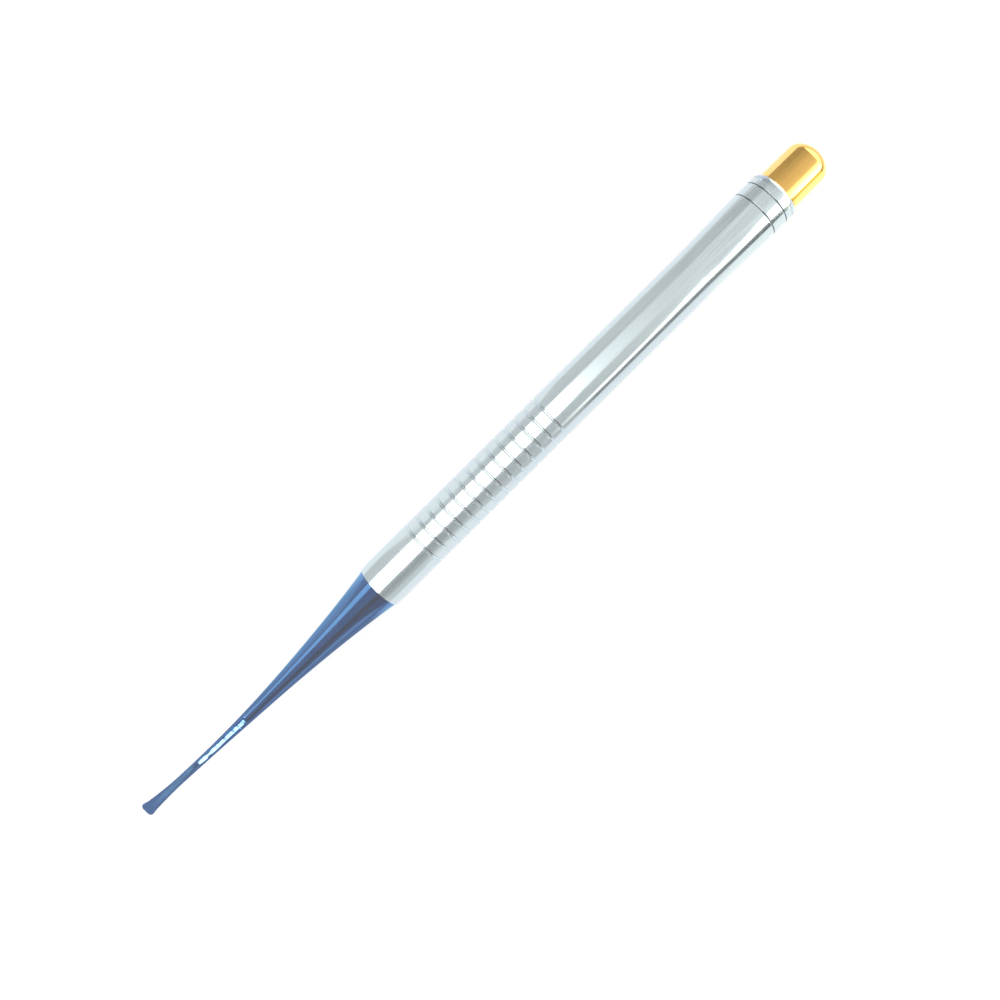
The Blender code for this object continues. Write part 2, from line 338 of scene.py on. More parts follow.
def finish_and_shade_slot(x, y):
    """Which finish, and which painted shade, a place on the outside of the handle gets."""
    nearest = min(GROOVE_COUNT - 1, max(0, round((x - FIRST_GROOVE) / GROOVE_PITCH)))
    offset = x - FIRST_GROOVE - nearest * GROOVE_PITCH
    # Groove walls, and the -Y side of a groove's floor, take darker slots as painted shade.
    if abs(offset) < GROOVE_HALF_WIDTH:
        in_floor = -GROOVE_FRONT_POLISH < offset < GROOVE_REAR_POLISH
        wall = GROOVE_FRONT_SLOT if offset < 0 else GROOVE_REAR_SLOT
        return POLISHED_SLOT if in_floor and y > -GROOVE_POLISH_SIDE else wall
    if any(abs(x - HANDLE_REAR + setback) < RING_HALF_WIDTH for setback in RING_SETBACKS):
        return RING_FLOOR_SLOT
    # The sides of the rear edge take the satin slot, darker as painted shade.
    if x > HANDLE_REAR - LIP_SETBACK - SATIN_SHADED_EDGE_LENGTH and abs(y) > SATIN_SHADED_EDGE_SIDE:
        return SATIN_SHADED_EDGE_SLOT
    return POLISHED_SLOT


handle = turn_on_lathe("turned_handle", handle_profile())
for face in handle.data.polygons:
    middle = face.center
    if math.hypot(middle.y, middle.z) > OUTSIDE_RADIUS:
        face.material_index = finish_and_shade_slot(middle.x, middle.y)
print("faces left dull:", sum(1 for face in handle.data.polygons if face.material_index))
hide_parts("handle")
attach(handle, "root")

# %% [markdown]
# ## The cap
#
# The cap is a short gold-finished plug: a plain barrel whose end is domed like half an egg. A
# spigot, which is not seen, seats it in the handle. The dome is a quarter of an ellipse, turned.
# A gap of a hundredth of a millimetre stays open in front of its shoulder as the joint line.

# %% Turn the cap
CAP_RADIUS = 4.56 * MM
CAP_TAPER = 0.07 * MM
CAP_DOME = 3.2 * MM
CAP_EDGE = 0.04 * MM
CAP_DOME_STEPS = 48
CAP_SIDE_STEPS = 12
SPIGOT_CHAMFER = 0.4 * MM
SEAT_CLEARANCE = 0.08 * MM
SEATED_RADIUS = BORE_RADIUS - SEAT_CLEARANCE
JOINT_GAP = 0.012 * MM


def cap_profile():
    """The cap from the crown of its dome forwards to the end of its spigot."""
    dome_foot = CAP_END - CAP_DOME
    shoulder = HANDLE_REAR - LIP_SETBACK + JOINT_GAP
    dome = quarter_round(dome_foot, CAP_RADIUS - CAP_TAPER, CAP_END, 0.0, CAP_DOME_STEPS)
    edge = quarter_round(shoulder + CAP_EDGE, CAP_RADIUS,
                         shoulder, CAP_RADIUS - CAP_EDGE, FINE_EDGE_STEPS)
    side = []
    for i in range(1, CAP_SIDE_STEPS):
        share = i / CAP_SIDE_STEPS
        side.append((dome_foot + (shoulder + CAP_EDGE - dome_foot) * share,
                     CAP_RADIUS - CAP_TAPER * (1 - share) ** 2))
    side.append((shoulder + CAP_EDGE + LAND_GUARD, CAP_RADIUS))
    spigot = [
        (shoulder, SEATED_RADIUS),
        (cap_low.x + SPIGOT_CHAMFER, SEATED_RADIUS),
        (cap_low.x, SEATED_RADIUS - SPIGOT_CHAMFER),
        (cap_low.x, 0.0),
    ]
    return dome[::-1] + side + edge + spigot


cap = turn_on_lathe("domed_cap", cap_profile())
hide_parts("end_cap")
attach(cap, "root")

# %% [markdown]
# ## The blade's forms
#
# This is the piece that takes the most skill. It is ground from one round bar: a cone at the
# handle, which draws in like a trumpet to a shank no thicker than a pencil lead, and then flares
# into a thin, hollow-ground edge that bends slightly to one side. No lathe can make it, because
# its section changes from a circle to a crescent. It is built as a loft instead: one section
# after another, each given by a few plain functions of the distance back from the cutting edge.

# %% How wide the blade is at each setback
BLADE_LENGTH = HANDLE_FRONT - TIP
NECK_SETBACK = 9.0 * MM
NECK_RADIUS = 0.735 * MM
CONE_RADIUS = 4.45 * MM
CONE_EDGE = 0.02 * MM
CONE_END = BLADE_LENGTH + LIP_SETBACK - JOINT_GAP
TRUMPET = ((0.02, 1), (0.94, 2), (0.04, 16))  # weight and power of each term of its curve
FLARE = 0.58 * MM
BEND = 0.95 * MM
BEND_LENGTH = 30.0 * MM
BEND_POWER = 1.7


def shank_radius(back):
    """The round body: a thin neck that opens like a trumpet into the cone."""
    share = max(0.0, (back - NECK_SETBACK) / (BLADE_LENGTH - NECK_SETBACK))
    opening = sum(weight * share**power for weight, power in TRUMPET)
    return NECK_RADIUS + (CONE_RADIUS - NECK_RADIUS) * opening


def half_width(back):
    """Half the width seen from above: the shank, and the flare towards the cutting edge."""
    share = max(0.0, 1 - back / NECK_SETBACK)
    return shank_radius(back) + FLARE * share**2


def rising(back, length, power=1.0):
    """A share that rises from 0 at the cutting edge to 1 at the given setback."""
    return min(1.0, max(0.0, back / length)) ** power


def sideways(back):
    """The gentle bend of the working end."""
    return BEND * (1 - rising(back, BEND_LENGTH)) ** BEND_POWER


for setback in (0.0, 9.0, 30.0, 59.0):
    print(f"{setback:4.0f} mm back: width {2 * half_width(setback * MM) / MM:.2f} mm,",
          f"bend {sideways(setback * MM) / MM:.2f} mm")

# %% [markdown]
# ## The hollow-ground flute
#
# A narrow flute is ground along the top of the shank, and it widens and deepens until it is the
# whole upper face of the blade. It is ground by hand, so its floor is never quite even: it has
# ripples less than a thousandth of a millimetre high. They are far too small to see as shape, but
# the flute is polished, so its long highlight wavers because of them. They are modelled, because
# that wavering line is what tells the eye that this is a ground edge. The highlight is as wide as
# the flat part of the floor, so the floor curls up towards its two rims, and in a few places,
# where the wheel bit deeper, it curls up sooner.

# %% The floor of the flute
FLUTE_HALF_WIDTH = 0.465 * MM
FLUTE_FLAT_START = 13.6 * MM
FLUTE_END = 25.7 * MM
FLUTE_RUNOUT = 0.35 * MM
FLUTE_DIP = 0.25 * MM
FLUTE_RIM = 0.14 * MM
EDGE_FLOOR = -0.12 * MM
FLOOR_POWER = 1.35
RIM_ROLL = 0.02 * MM
RIM_START = 0.36 * MM
RIM_POWER = 6
ROLL_START = 0.8 * FLUTE_FLAT_START
ROLL_LENGTH = 0.2 * FLUTE_FLAT_START
# For each bite, in mm: its setback, its length, and how far it takes the -Y and the +Y rim in.
RIM_BITES = [[value * MM for value in bite] for bite in (
    (16.4, 0.45, 0.11, 0.15),
    (20.6, 1.2, 0.03, 0.03),
    (24.6, 0.7, -0.05, 0.03),
    (13.9, 0.35, 0.07, 0.08),
)]
# For each ripple: its length, its phase, and its share of the height.
RIPPLES = ((1.13 * MM, 0.4, 1.0), (1.91 * MM, 2.1, 0.9), (0.67 * MM, 4.4, 0.45))
RIPPLE_HEIGHT = 0.0004 * MM
RIPPLE_SKEW = 0.3


def flute_floor(back):
    """The height of the lowest line of the flute."""
    flat = math.sqrt(shank_radius(FLUTE_FLAT_START) ** 2 - FLUTE_HALF_WIDTH**2)
    if back < FLUTE_FLAT_START:
        climb = 1 - (1 - back / FLUTE_FLAT_START) ** FLOOR_POWER
        return EDGE_FLOOR + (flat - EDGE_FLOOR) * climb
    sink = FLUTE_DIP * (back - FLUTE_FLAT_START) / (FLUTE_END - FLUTE_FLAT_START)
    floor = math.sqrt(shank_radius(back) ** 2 - FLUTE_HALF_WIDTH**2) - sink
    lift = max(0.0, (back - FLUTE_END + FLUTE_RUNOUT) / FLUTE_RUNOUT)
    return floor + (shank_radius(back) - floor) * lift**2


def hand_ripple(back, across):
    """The unevenness that hand grinding leaves on the floor of the flute."""
    skew = RIPPLE_SKEW * across
    return sum(size * math.sin(2 * math.pi * (back + skew) / length + phase)
               for length, phase, size in RIPPLES)


def rolled_rim(back, across):
    """The rise of the flute's floor towards its two rims, sooner where the wheel bit deeper."""
    start = RIM_START
    for place, length, minus_y, plus_y in RIM_BITES:
        bite = plus_y if across > 0 else minus_y
        start -= bite * math.exp(-((back - place) / length) ** 2)
    return RIM_ROLL * (across / start) ** RIM_POWER * rising(back - ROLL_START, ROLL_LENGTH)


def flute_height(back, across):
    """The hollow face at a distance from the middle line of the blade."""
    hollow = FLUTE_RIM * (1 - rising(back, FLUTE_FLAT_START)) / (FLARE + NECK_RADIUS) ** 2
    ripple = RIPPLE_HEIGHT * hand_ripple(back, across)
    return flute_floor(back) + hollow * across**2 + ripple + rolled_rim(back, across)


print("flute floor in mm at 0, 10, 20 mm back:",
      [round(flute_floor(x * MM) / MM, 3) for x in (0, 10, 20)])

# %% [markdown]
# ## One section of the blade
#
# Every section is a ring of the same number of points. Some of them lie on the flute, and the
# rest go round underneath. Where the flute cuts the round body there is a real crease, and it has
# to fall exactly on a point of the ring, or the smooth shading would smear it. The place of that
# crease is found by halving: a few lines of search instead of a boolean cut, which would leave
# ragged faces on a form as thin as this.

# %% Draw a section
FLUTE_POINTS = 24
UNDER_POINTS = 60
FLUTE_ARC = math.radians(80)
HALVINGS = 40
EDGE_ABOVE = 0.12 * MM
EDGE_BELOW = 0.20 * MM
ROUND_SETBACK = 20.0 * MM
OVER_POWER = 0.8
UNDER_POWER = 0.75
SETTLE_POWER = 0.7


def crease_angle(back, over, wide):
    """The angle round the section at which the flute cuts the body."""
    def above_flute(turn):
        return over * math.sin(turn) - flute_height(back, wide * math.cos(turn))

    if back < FLUTE_END and above_flute(math.pi / 2) > 0:
        low, high = 0.0, math.pi / 2
        for _ in range(HALVINGS):
            middle = (low + high) / 2
            low, high = (low, middle) if above_flute(middle) > 0 else (middle, high)
        return high
    settled = rising(back - FLUTE_END, BLADE_LENGTH - FLUTE_END, SETTLE_POWER)
    narrow = math.acos(min(1.0, FLUTE_HALF_WIDTH / shank_radius(FLUTE_END)))
    return narrow + ((math.pi - FLUTE_ARC) / 2 - narrow) * settled


def blade_section(back):
    """The blade's outline at a setback as (y, z) points, from +Y round over the top."""
    wide = half_width(back)
    round_body = shank_radius(back)
    over = EDGE_ABOVE + (round_body - EDGE_ABOVE) * rising(back, ROUND_SETBACK / 2, OVER_POWER)
    under = EDGE_BELOW + (round_body - EDGE_BELOW) * rising(back, ROUND_SETBACK, UNDER_POWER)
    rim = crease_angle(back, over, wide)
    points = []
    for i in range(FLUTE_POINTS + 1):
        turn = rim + (math.pi - 2 * rim) * i / FLUTE_POINTS
        across = wide * math.cos(turn)
        body = over * math.sin(turn)
        height = min(body, flute_height(back, across)) if back < FLUTE_END else body
        points.append((across, height))
    for i in range(1, UNDER_POINTS):
        turn = math.pi - rim + (math.pi + 2 * rim) * i / UNDER_POINTS
        high = over if math.sin(turn) > 0 else under
        points.append((wide * math.cos(turn), high * math.sin(turn)))
    return points


print("points in a section:", len(blade_section(10 * MM)))

# %% [markdown]
# ## The blade, lofted
#
# The sections are joined in order, closest together at the cutting edge and at the run-out of the
# flute, where the form changes fastest. The two corners of the cutting edge are rounded
# differently, so the first sections are pushed back near their sides. A shoulder and the hidden
# tang end the loft inside the handle.

# %% Loft the blade
CORNER_PLUS_Y = 0.75 * MM
CORNER_MINUS_Y = 0.85 * MM
CORNER_REACH = 1.8 * MM
TANG_CHAMFER = 0.4 * MM
STRAIGHT_END = FLUTE_END - FLUTE_RUNOUT
# Where each stretch of the loft starts and ends, how many sections it has, and how they bunch.
STRETCHES = (
    (0.0, CORNER_REACH, 22, 1.0),
    (CORNER_REACH, FLUTE_FLAT_START, 76, 1.0),
    (FLUTE_FLAT_START, STRAIGHT_END, 72, 1.0),
    (STRAIGHT_END, FLUTE_END, 10, 1.0),
    (FLUTE_END, CONE_END - CONE_EDGE, 90, 0.95),
)


def corner_setback(side):
    """How far a corner of the cutting edge is rounded back, at a place across it from -1 to 1."""
    half = half_width(0.0)
    corner = CORNER_PLUS_Y if side > 0 else CORNER_MINUS_Y
    into = max(0.0, abs(side) - (1 - corner / half)) * half / corner
    return corner * (1 - math.sqrt(max(0.0, 1 - into**2)))


def blade_setbacks():
    """The setbacks at which a section is drawn."""
    setbacks = [0.0]
    for start, end, count, power in STRETCHES:
        setbacks += [start + (end - start) * (i / count) ** power for i in range(1, count + 1)]
    return setbacks


def tang_rings():
    """The cone's rear face and the tang, as (setback, radius)."""
    tang_end = blade_high.x - TIP
    return [
        (CONE_END, shank_radius(CONE_END) - CONE_EDGE),
        (CONE_END, SEATED_RADIUS),
        (tang_end - TANG_CHAMFER, SEATED_RADIUS),
        (tang_end, SEATED_RADIUS - TANG_CHAMFER),
    ]


def tang_turns():
    """The angles of a round ring, spread as the points of a section are."""
    start = (math.pi - FLUTE_ARC) / 2
    over = [start + FLUTE_ARC * i / FLUTE_POINTS for i in range(FLUTE_POINTS)]
    return over + [start + FLUTE_ARC + (2 * math.pi - FLUTE_ARC) * i / UNDER_POINTS
                   for i in range(UNDER_POINTS)]


def loft_blade():
    """The whole blade from the crescent of its edge to the end of its tang."""
    shape = bmesh.new()
    rings = []
    for back in blade_setbacks():
        pull = max(0.0, 1 - back / CORNER_REACH)
        ring = []
        for across, height in blade_section(back):
            corner = corner_setback(across / half_width(back)) * pull
            ring.append(shape.verts.new((TIP + back + corner, across + sideways(back), height)))
        rings.append(ring)
    for back, radius in tang_rings():
        rings.append(circle_of_corners(shape, TIP + back, radius, tang_turns()))
    join_rings(shape, rings)
    shape.faces.new(rings[-1])
    edge_loop = [edge for edge in shape.edges if edge.is_boundary]
    bmesh.ops.triangle_fill(shape, use_beauty=True, edges=edge_loop)
    return finish_mesh("ground_blade", shape)


blade = loft_blade()
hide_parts("blade")
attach(blade, "root")

# %% [markdown]
# ## Small helpers for finishes
#
# A finish in Blender is a graph of nodes. A few helpers keep the cells below short: they add a
# node and feed its inputs, do a sum, turn a value into a share from 0 to 1, start a metal, make a
# stretched grain, blend two colours, lay fine reliefs on the surface, and connect the result to
# the metal's shader.

# %% Node helpers
def add_node(tree, kind, inputs=None, **settings):
    """Adds a node. An input is fed by a number, a colour, or another node's output."""
    node = tree.nodes.new(kind)
    for name, value in settings.items():
        setattr(node, name, value)
    for name, value in (inputs or {}).items():
        if isinstance(value, bpy.types.NodeSocket):
            tree.links.new(value, node.inputs[name])
        else:
            node.inputs[name].default_value = value
    return node


def sum_of(tree, operation, *values):
    """Does any sum that a Math node can do, and gives its output."""
    return add_node(tree, "ShaderNodeMath", dict(enumerate(values)), operation=operation).outputs[0]


def soft_rise(tree, value, low, high):
    """0 below low, 1 above high, and a smooth rise between them."""
    return add_node(tree, "ShaderNodeMapRange", {"Value": value, "From Min": low, "From Max": high},
                    interpolation_type="SMOOTHSTEP").outputs["Result"]


def new_metal(name):
    """A metal with nothing set yet: its node tree, its shader, and the object's own coordinates."""
    material = bpy.data.materials.new(name)
    material.use_nodes = True
    tree = material.node_tree
    shader = tree.nodes["Principled BSDF"]
    shader.inputs["Metallic"].default_value = 1.0
    place = add_node(tree, "ShaderNodeTexCoord").outputs["Object"]
    return material, tree, shader, place


def grain(tree, place, stretch, detail=2.0, roughness=0.5):
    """Noise from 0 to 1, with so many grains to the metre along X, Y and Z."""
    scaled = add_node(tree, "ShaderNodeVectorMath", {0: place, 1: stretch}, operation="MULTIPLY")
    noise = add_node(tree, "ShaderNodeTexNoise", {
        "Vector": scaled.outputs[0], "Scale": 1.0, "Detail": detail, "Roughness": roughness})
    return noise.outputs["Fac"]


def spread(tree, value, low, high):
    """Maps the middle of a grain's range to run from low to high."""
    stretched = add_node(tree, "ShaderNodeMapRange", {
        "Value": value, "From Min": 0.3, "From Max": 0.7, "To Min": low, "To Max": high})
    return stretched.outputs["Result"]


def blend_colours(tree, share, first, second):
    """A colour that goes from the first to the second as the share rises."""
    mix = add_node(tree, "ShaderNodeMix", {"Factor": share, "A": first, "B": second},
                   data_type="RGBA")
    return mix.outputs["Result"]


def layered_relief(tree, *layers):
    """One surface normal from several layers of (height, depth in metres, strength)."""
    normal = None
    for height, depth, strength in layers:
        inputs = {"Height": height, "Distance": depth, "Strength": strength}
        if normal is not None:
            inputs["Normal"] = normal
        normal = add_node(tree, "ShaderNodeBump", inputs).outputs["Normal"]
    return normal


def connect(tree, shader, colour, roughness, relief):
    """Feeds a metal's shader with the three things that vary over its surface."""
    for name, output in (("Base Color", colour), ("Roughness", roughness), ("Normal", relief)):
        tree.links.new(output, shader.inputs[name])


print("materials so far:", len(bpy.data.materials))

# %% [markdown]
# ## Polished steel
#
# The handle is stainless steel, turned on a lathe and then polished lengthwise. Turning leaves
# fine circles round the bar, and polishing leaves faint streaks along it. Together they stretch
# every reflection along the handle and keep it sharp across: the bands of light in the
# photograph have crisp sides and soft ends. Anisotropy gives that stretch. The streaks and the
# circles are noise, pulled long in one direction. A slow third noise is the cloudiness of a
# surface that has been wiped by hand. Towards the butt the brush has bitten deeper, and its marks
# show as fine lengthwise lines in the colour as well.

# %% Polished steel for the handle
BRUSHED_FROM, BRUSHED_FULLY = 50 * MM, 66 * MM
REFLECTION_STRETCH = 0.7


def polished_steel():
    """Stainless steel with turning circles, lengthwise streaks, and brush marks near the butt."""
    material, tree, shader, place = new_metal("polished_steel")
    streaks = grain(tree, place, (45, 5200, 5200), 3.0)
    circles = grain(tree, place, (9000, 60, 60), 2.0)
    clouds = grain(tree, place, (420, 700, 700), 3.0, 0.6)
    plain_colour = blend_colours(tree, streaks,
                                 (0.620, 0.705, 0.725, 1), (0.660, 0.742, 0.760, 1))
    along_bar = add_node(tree, "ShaderNodeSeparateXYZ", {0: place}).outputs["X"]
    near_butt = soft_rise(tree, along_bar, BRUSHED_FROM, BRUSHED_FULLY)
    brush_marks = grain(tree, place, (24, 4500, 4500), 3.0)
    brushed_colour = blend_colours(tree, spread(tree, brush_marks, 0.0, 1.0),
                                   (0.565, 0.650, 0.670, 1), (0.715, 0.797, 0.815, 1))
    colour = blend_colours(tree, near_butt, plain_colour, brushed_colour)
    wear = sum_of(tree, "ADD", sum_of(tree, "MULTIPLY", clouds, 0.6),
                  sum_of(tree, "MULTIPLY", streaks, 0.4))
    relief = layered_relief(
        tree,
        (circles, 0.5e-6, 0.5),
        (streaks, 0.6e-6, 0.5),
        (sum_of(tree, "MULTIPLY", brush_marks, near_butt), 9.0e-6, 0.7),
        (clouds, 6.0e-6, 0.6),
    )
    connect(tree, shader, colour, spread(tree, wear, 0.09, 0.16), relief)
    shader.inputs["Anisotropic"].default_value = REFLECTION_STRETCH
    around = add_node(tree, "ShaderNodeTangent", direction_type="RADIAL", axis="X")
    tree.links.new(around.outputs["Tangent"], shader.inputs["Tangent"])
    return material


handle.data.materials.append(polished_steel())
print("steel nodes:", len(handle.data.materials[POLISHED_SLOT].node_tree.nodes))

# %% [markdown]
# ## Duller turned steel, with painted light and shade
#
# The walls of the grooves, the rings and the sides of the rear edge are turned but not polished.
# They share one duller metal with a fine chatter across it, at four different levels, and these
# darker levels are painted shade. The walls of the grooves get painted light on the two sides of
# the bar, and the front walls get painted shade just beside the top.

# %% Duller steel for the cuts, with painted light and shade
SIDES_PAINTED_LIGHT_RANGE = (2.3 * MM, 3.1 * MM)
TOP_PAINTED_SHADE_STARTS = (0.7 * MM, 1.1 * MM)
TOP_PAINTED_SHADE_ENDS = (2.6 * MM, 3.1 * MM)


def dull_steel_painted_light_and_shade(name, dark, light, painted_light_at_sides=1.0, painted_shade_beside_top=1.0):
    """Duller steel: painted light at the bar's sides, painted shade beside its top, by a factor."""
    material, tree, shader, place = new_metal(name)
    chatter = grain(tree, place, (12000, 900, 900), 3.0)
    colour = blend_colours(tree, chatter, (*dark, 1), (*light, 1))
    # The colour is scaled by place: painted light at the bar's sides, painted shade beside its top.
    place_y = add_node(tree, "ShaderNodeSeparateXYZ", {0: place}).outputs["Y"]
    side = soft_rise(tree, sum_of(tree, "ABSOLUTE", place_y), *SIDES_PAINTED_LIGHT_RANGE)
    toward_minus_y = sum_of(tree, "MULTIPLY", place_y, -1.0)
    beside = sum_of(tree, "SUBTRACT", soft_rise(tree, toward_minus_y, *TOP_PAINTED_SHADE_STARTS),
                    soft_rise(tree, toward_minus_y, *TOP_PAINTED_SHADE_ENDS))
    change = sum_of(tree, "ADD", sum_of(tree, "MULTIPLY", side, painted_light_at_sides - 1.0),
                    sum_of(tree, "MULTIPLY", beside, painted_shade_beside_top - 1.0))
    level = sum_of(tree, "ADD", 1.0, change)
    levelled = add_node(tree, "ShaderNodeVectorMath", {0: colour, 1: level}, operation="MULTIPLY")
    connect(tree, shader, levelled.outputs[0], spread(tree, chatter, 0.28, 0.42),
            layered_relief(tree, (chatter, 2.0e-6, 0.5)))
    return material


for cut in (
    # Each cut's darker colour is painted shade; the ring floors are painted darkest.
    dull_steel_painted_light_and_shade("groove_front", (0.39, 0.45, 0.47), (0.50, 0.56, 0.58), 1.45, 0.42),
    dull_steel_painted_light_and_shade("groove_rear", (0.44, 0.51, 0.53), (0.56, 0.63, 0.65), 1.36),
    dull_steel_painted_light_and_shade("ring_floor", (0.15, 0.17, 0.18), (0.26, 0.29, 0.30)),
    dull_steel_painted_light_and_shade("satin_shaded_edge", (0.38, 0.41, 0.42), (0.44, 0.47, 0.48)),
):
    handle.data.materials.append(cut)
print("finishes on the handle:", [material.name for material in handle.data.materials])

# %% [markdown]
# ## Blue hard coating
#
# The blade carries a thin, very hard blue coating over polished steel. It takes its colour by
# interference, as a soap film does, so it turns paler and greener where it is seen at a slant.
# The metal shader has an edge tint for just that. Under the coating the grinding lines of the
# cone run lengthwise, and they show through as fine streaks. Two soft patches on the hollow face
# are painted highlights, paler than the rest.

# %% Coating for the blade
EDGE_TINT = (0.75, 0.95, 1.0, 1.0)
PAINTED_HIGHLIGHT_FADE = (0.2, 1.2)
# For each painted highlight: its middle, its reach along X and Y, and its colour.
PAINTED_HIGHLIGHT_PATCHES = (
    ((TIP + 7.4 * MM, 0.62 * MM, 0.0), (5.6 * MM, 0.75 * MM), (0.240, 0.500, 0.860, 1)),
    ((TIP + 11.3 * MM, 0.60 * MM, 0.0), (1.5 * MM, 0.33 * MM), (0.260, 0.600, 1.000, 1)),
)


def away_from(tree, place, middle, reach_x, reach_y):
    """The distance from the middle of a patch, 1 at its reach."""
    offset = add_node(tree, "ShaderNodeVectorMath", {0: place, 1: middle}, operation="SUBTRACT")
    scaled = add_node(tree, "ShaderNodeVectorMath",
                      {0: offset.outputs[0], 1: (1 / reach_x, 1 / reach_y, 0.0)},
                      operation="MULTIPLY")
    length = add_node(tree, "ShaderNodeVectorMath", {0: scaled.outputs[0]}, operation="LENGTH")
    return length.outputs["Value"]


def blue_coating():
    """A hard blue coating over ground steel, with two painted highlights on its hollow face."""
    material, tree, shader, place = new_metal("blue_coating")
    lines = grain(tree, place, (70, 6500, 6500), 3.0)
    patches = grain(tree, place, (260, 900, 900), 2.0)
    mixed = sum_of(tree, "ADD", sum_of(tree, "MULTIPLY", lines, 0.5),
                   sum_of(tree, "MULTIPLY", patches, 0.5))
    colour = blend_colours(tree, spread(tree, mixed, 0.0, 1.0),
                           (0.150, 0.278, 0.520, 1), (0.180, 0.308, 0.570, 1))
    # Painted highlights: the colour turns paler in two soft patches of the hollow face.
    for middle, reach, pale in PAINTED_HIGHLIGHT_PATCHES:
        share = soft_rise(tree, away_from(tree, place, middle, *reach), *PAINTED_HIGHLIGHT_FADE)
        colour = blend_colours(tree, share, pale, colour)
    relief = layered_relief(tree, (lines, 0.25e-6, 0.3), (patches, 0.5e-6, 0.2))
    connect(tree, shader, colour, spread(tree, mixed, 0.035, 0.06), relief)
    shader.inputs["Specular Tint"].default_value = EDGE_TINT
    return material


blade.data.materials.append(blue_coating())
print("coating nodes:", len(blade.data.materials[0].node_tree.nodes))

# %% [markdown]
# ## Gold finish
#
# The cap is plated and buffed, so it is the smoothest surface of the three. It isn't a perfect
# mirror: plating keeps a trace of the turning lines under it, and buffing leaves a soft haze that
# differs a little from place to place.

# %% Gold for the cap
def gold_finish():
    """Buffed gold plating with traces of turning under it."""
    material, tree, shader, place = new_metal("gold_finish")
    circles = grain(tree, place, (7000, 90, 90), 2.0)
    haze = grain(tree, place, (500, 500, 500), 3.0, 0.55)
    colour = blend_colours(tree, haze, (0.81, 0.485, 0.138, 1), (0.85, 0.520, 0.156, 1))
    relief = layered_relief(tree, (circles, 0.4e-6, 0.4), (haze, 2.0e-6, 0.4))
    connect(tree, shader, colour, spread(tree, haze, 0.07, 0.12), relief)
    return material


cap.data.materials.append(gold_finish())
print("gold nodes:", len(cap.data.materials[0].node_tree.nodes))

# %% [markdown]
# ## The table
#
# The instrument lies on a plain white table, which touches its widest ring, at the butt. The
# table has to look white without being lit more strongly than the metal. So what the camera sees
# of it is mostly a white of strength 1, and only a share is a matt surface that takes the soft
# shadow of the instrument.
#
# A photographer lays cards round polished metal to shape what its sides show. The lower half of
# every round surface reflects the table, so the cards lie there. Only mirrored rays meet them. The
# far ends of a card lean as those rays do, and so each shows as a straight edge across the bar.

# %% Table
TABLE_HALF = 3.0
TABLE_HEIGHT = packed_box[0].z
SHADOW_SHARE = 0.16
BARE_TABLE = (1.08, 1.09, 1.12, 1.0)
FAR = 1.0
# For each card: the lean of its ends, its range along X and along Y, its softness, its colour.
TABLE_CARDS = (
    (0.0, (21 * MM, FAR), (36 * MM, FAR), 3 * MM, (0.75, 0.75, 0.76)),
    (0.21, (-FAR, -20.7 * MM), (46 * MM, FAR), 3 * MM, (0.70, 0.74, 0.75)),
    (0.40, (-FAR, -31 * MM), (-FAR, -2 * MM), 3 * MM, (0.60, 0.53, 0.56)),
    (0.40, (-FAR, -31 * MM), (-2 * MM, FAR), 3 * MM, (0.80, 0.86, 0.90)),
    (0.40, (-FAR, -58 * MM), (-FAR, FAR), 6 * MM, (0.60, 0.57, 0.66)),
    (-0.30, (52 * MM, FAR), (-FAR, -6 * MM), 4 * MM, (1.20, 1.21, 1.19)),
    (-0.33, (74.8 * MM, 98 * MM), (-FAR, FAR), 0.8 * MM, (1.9, 2.05, 2.2)),
    (-0.33, (74.8 * MM, 98 * MM), (6 * MM, FAR), 0.8 * MM, (1.45, 1.55, 1.9)),
    (-0.33, (98 * MM, FAR), (-FAR, FAR), 0.8 * MM, (1.25, 1.30, 1.32)),
)


def card_on_table(tree, place, lean, x_range, y_range, soft):
    """1 over a card that lies on the table. Its two ends lean by a share of |Y|, as the rays do."""
    from_axis = sum_of(tree, "ABSOLUTE", place.outputs["Y"])
    leaned = sum_of(tree, "ADD", place.outputs["X"], sum_of(tree, "MULTIPLY", from_axis, lean))
    share = None
    for value, (start, end) in ((leaned, x_range), (place.outputs["Y"], y_range)):
        rise = soft_rise(tree, value, start - soft, start + soft)
        fall = soft_rise(tree, value, end - soft, end + soft)
        side = sum_of(tree, "SUBTRACT", rise, fall)
        share = side if share is None else sum_of(tree, "MULTIPLY", share, side)
    return share


def white_table():
    """White for the eye, matt for a share of it, and covered in cards for mirrored rays."""
    material = bpy.data.materials.new("white_table")
    material.use_nodes = True
    tree = material.node_tree
    tree.nodes.clear()
    coordinates = add_node(tree, "ShaderNodeTexCoord")
    place = add_node(tree, "ShaderNodeSeparateXYZ", {0: coordinates.outputs["Object"]})
    mirrored_colour = BARE_TABLE
    for *card, colour in TABLE_CARDS:
        share = card_on_table(tree, place, *card)
        mirrored_colour = blend_colours(tree, share, mirrored_colour, (*colour, 1.0))
    matt = add_node(tree, "ShaderNodeBsdfDiffuse", {"Color": (0.92, 0.92, 0.92, 1)})
    white = add_node(tree, "ShaderNodeEmission", {"Color": (1, 1, 1, 1), "Strength": 1.0})
    cards = add_node(tree, "ShaderNodeEmission", {"Color": mirrored_colour, "Strength": 1.0})
    seen = add_node(tree, "ShaderNodeMixShader",
                    {0: SHADOW_SHARE, 1: white.outputs[0], 2: matt.outputs[0]})
    ray = add_node(tree, "ShaderNodeLightPath")
    surface = add_node(tree, "ShaderNodeMixShader",
                       {0: ray.outputs["Is Glossy Ray"], 1: seen.outputs[0], 2: cards.outputs[0]})
    add_node(tree, "ShaderNodeOutputMaterial", {"Surface": surface.outputs[0]})
    return material


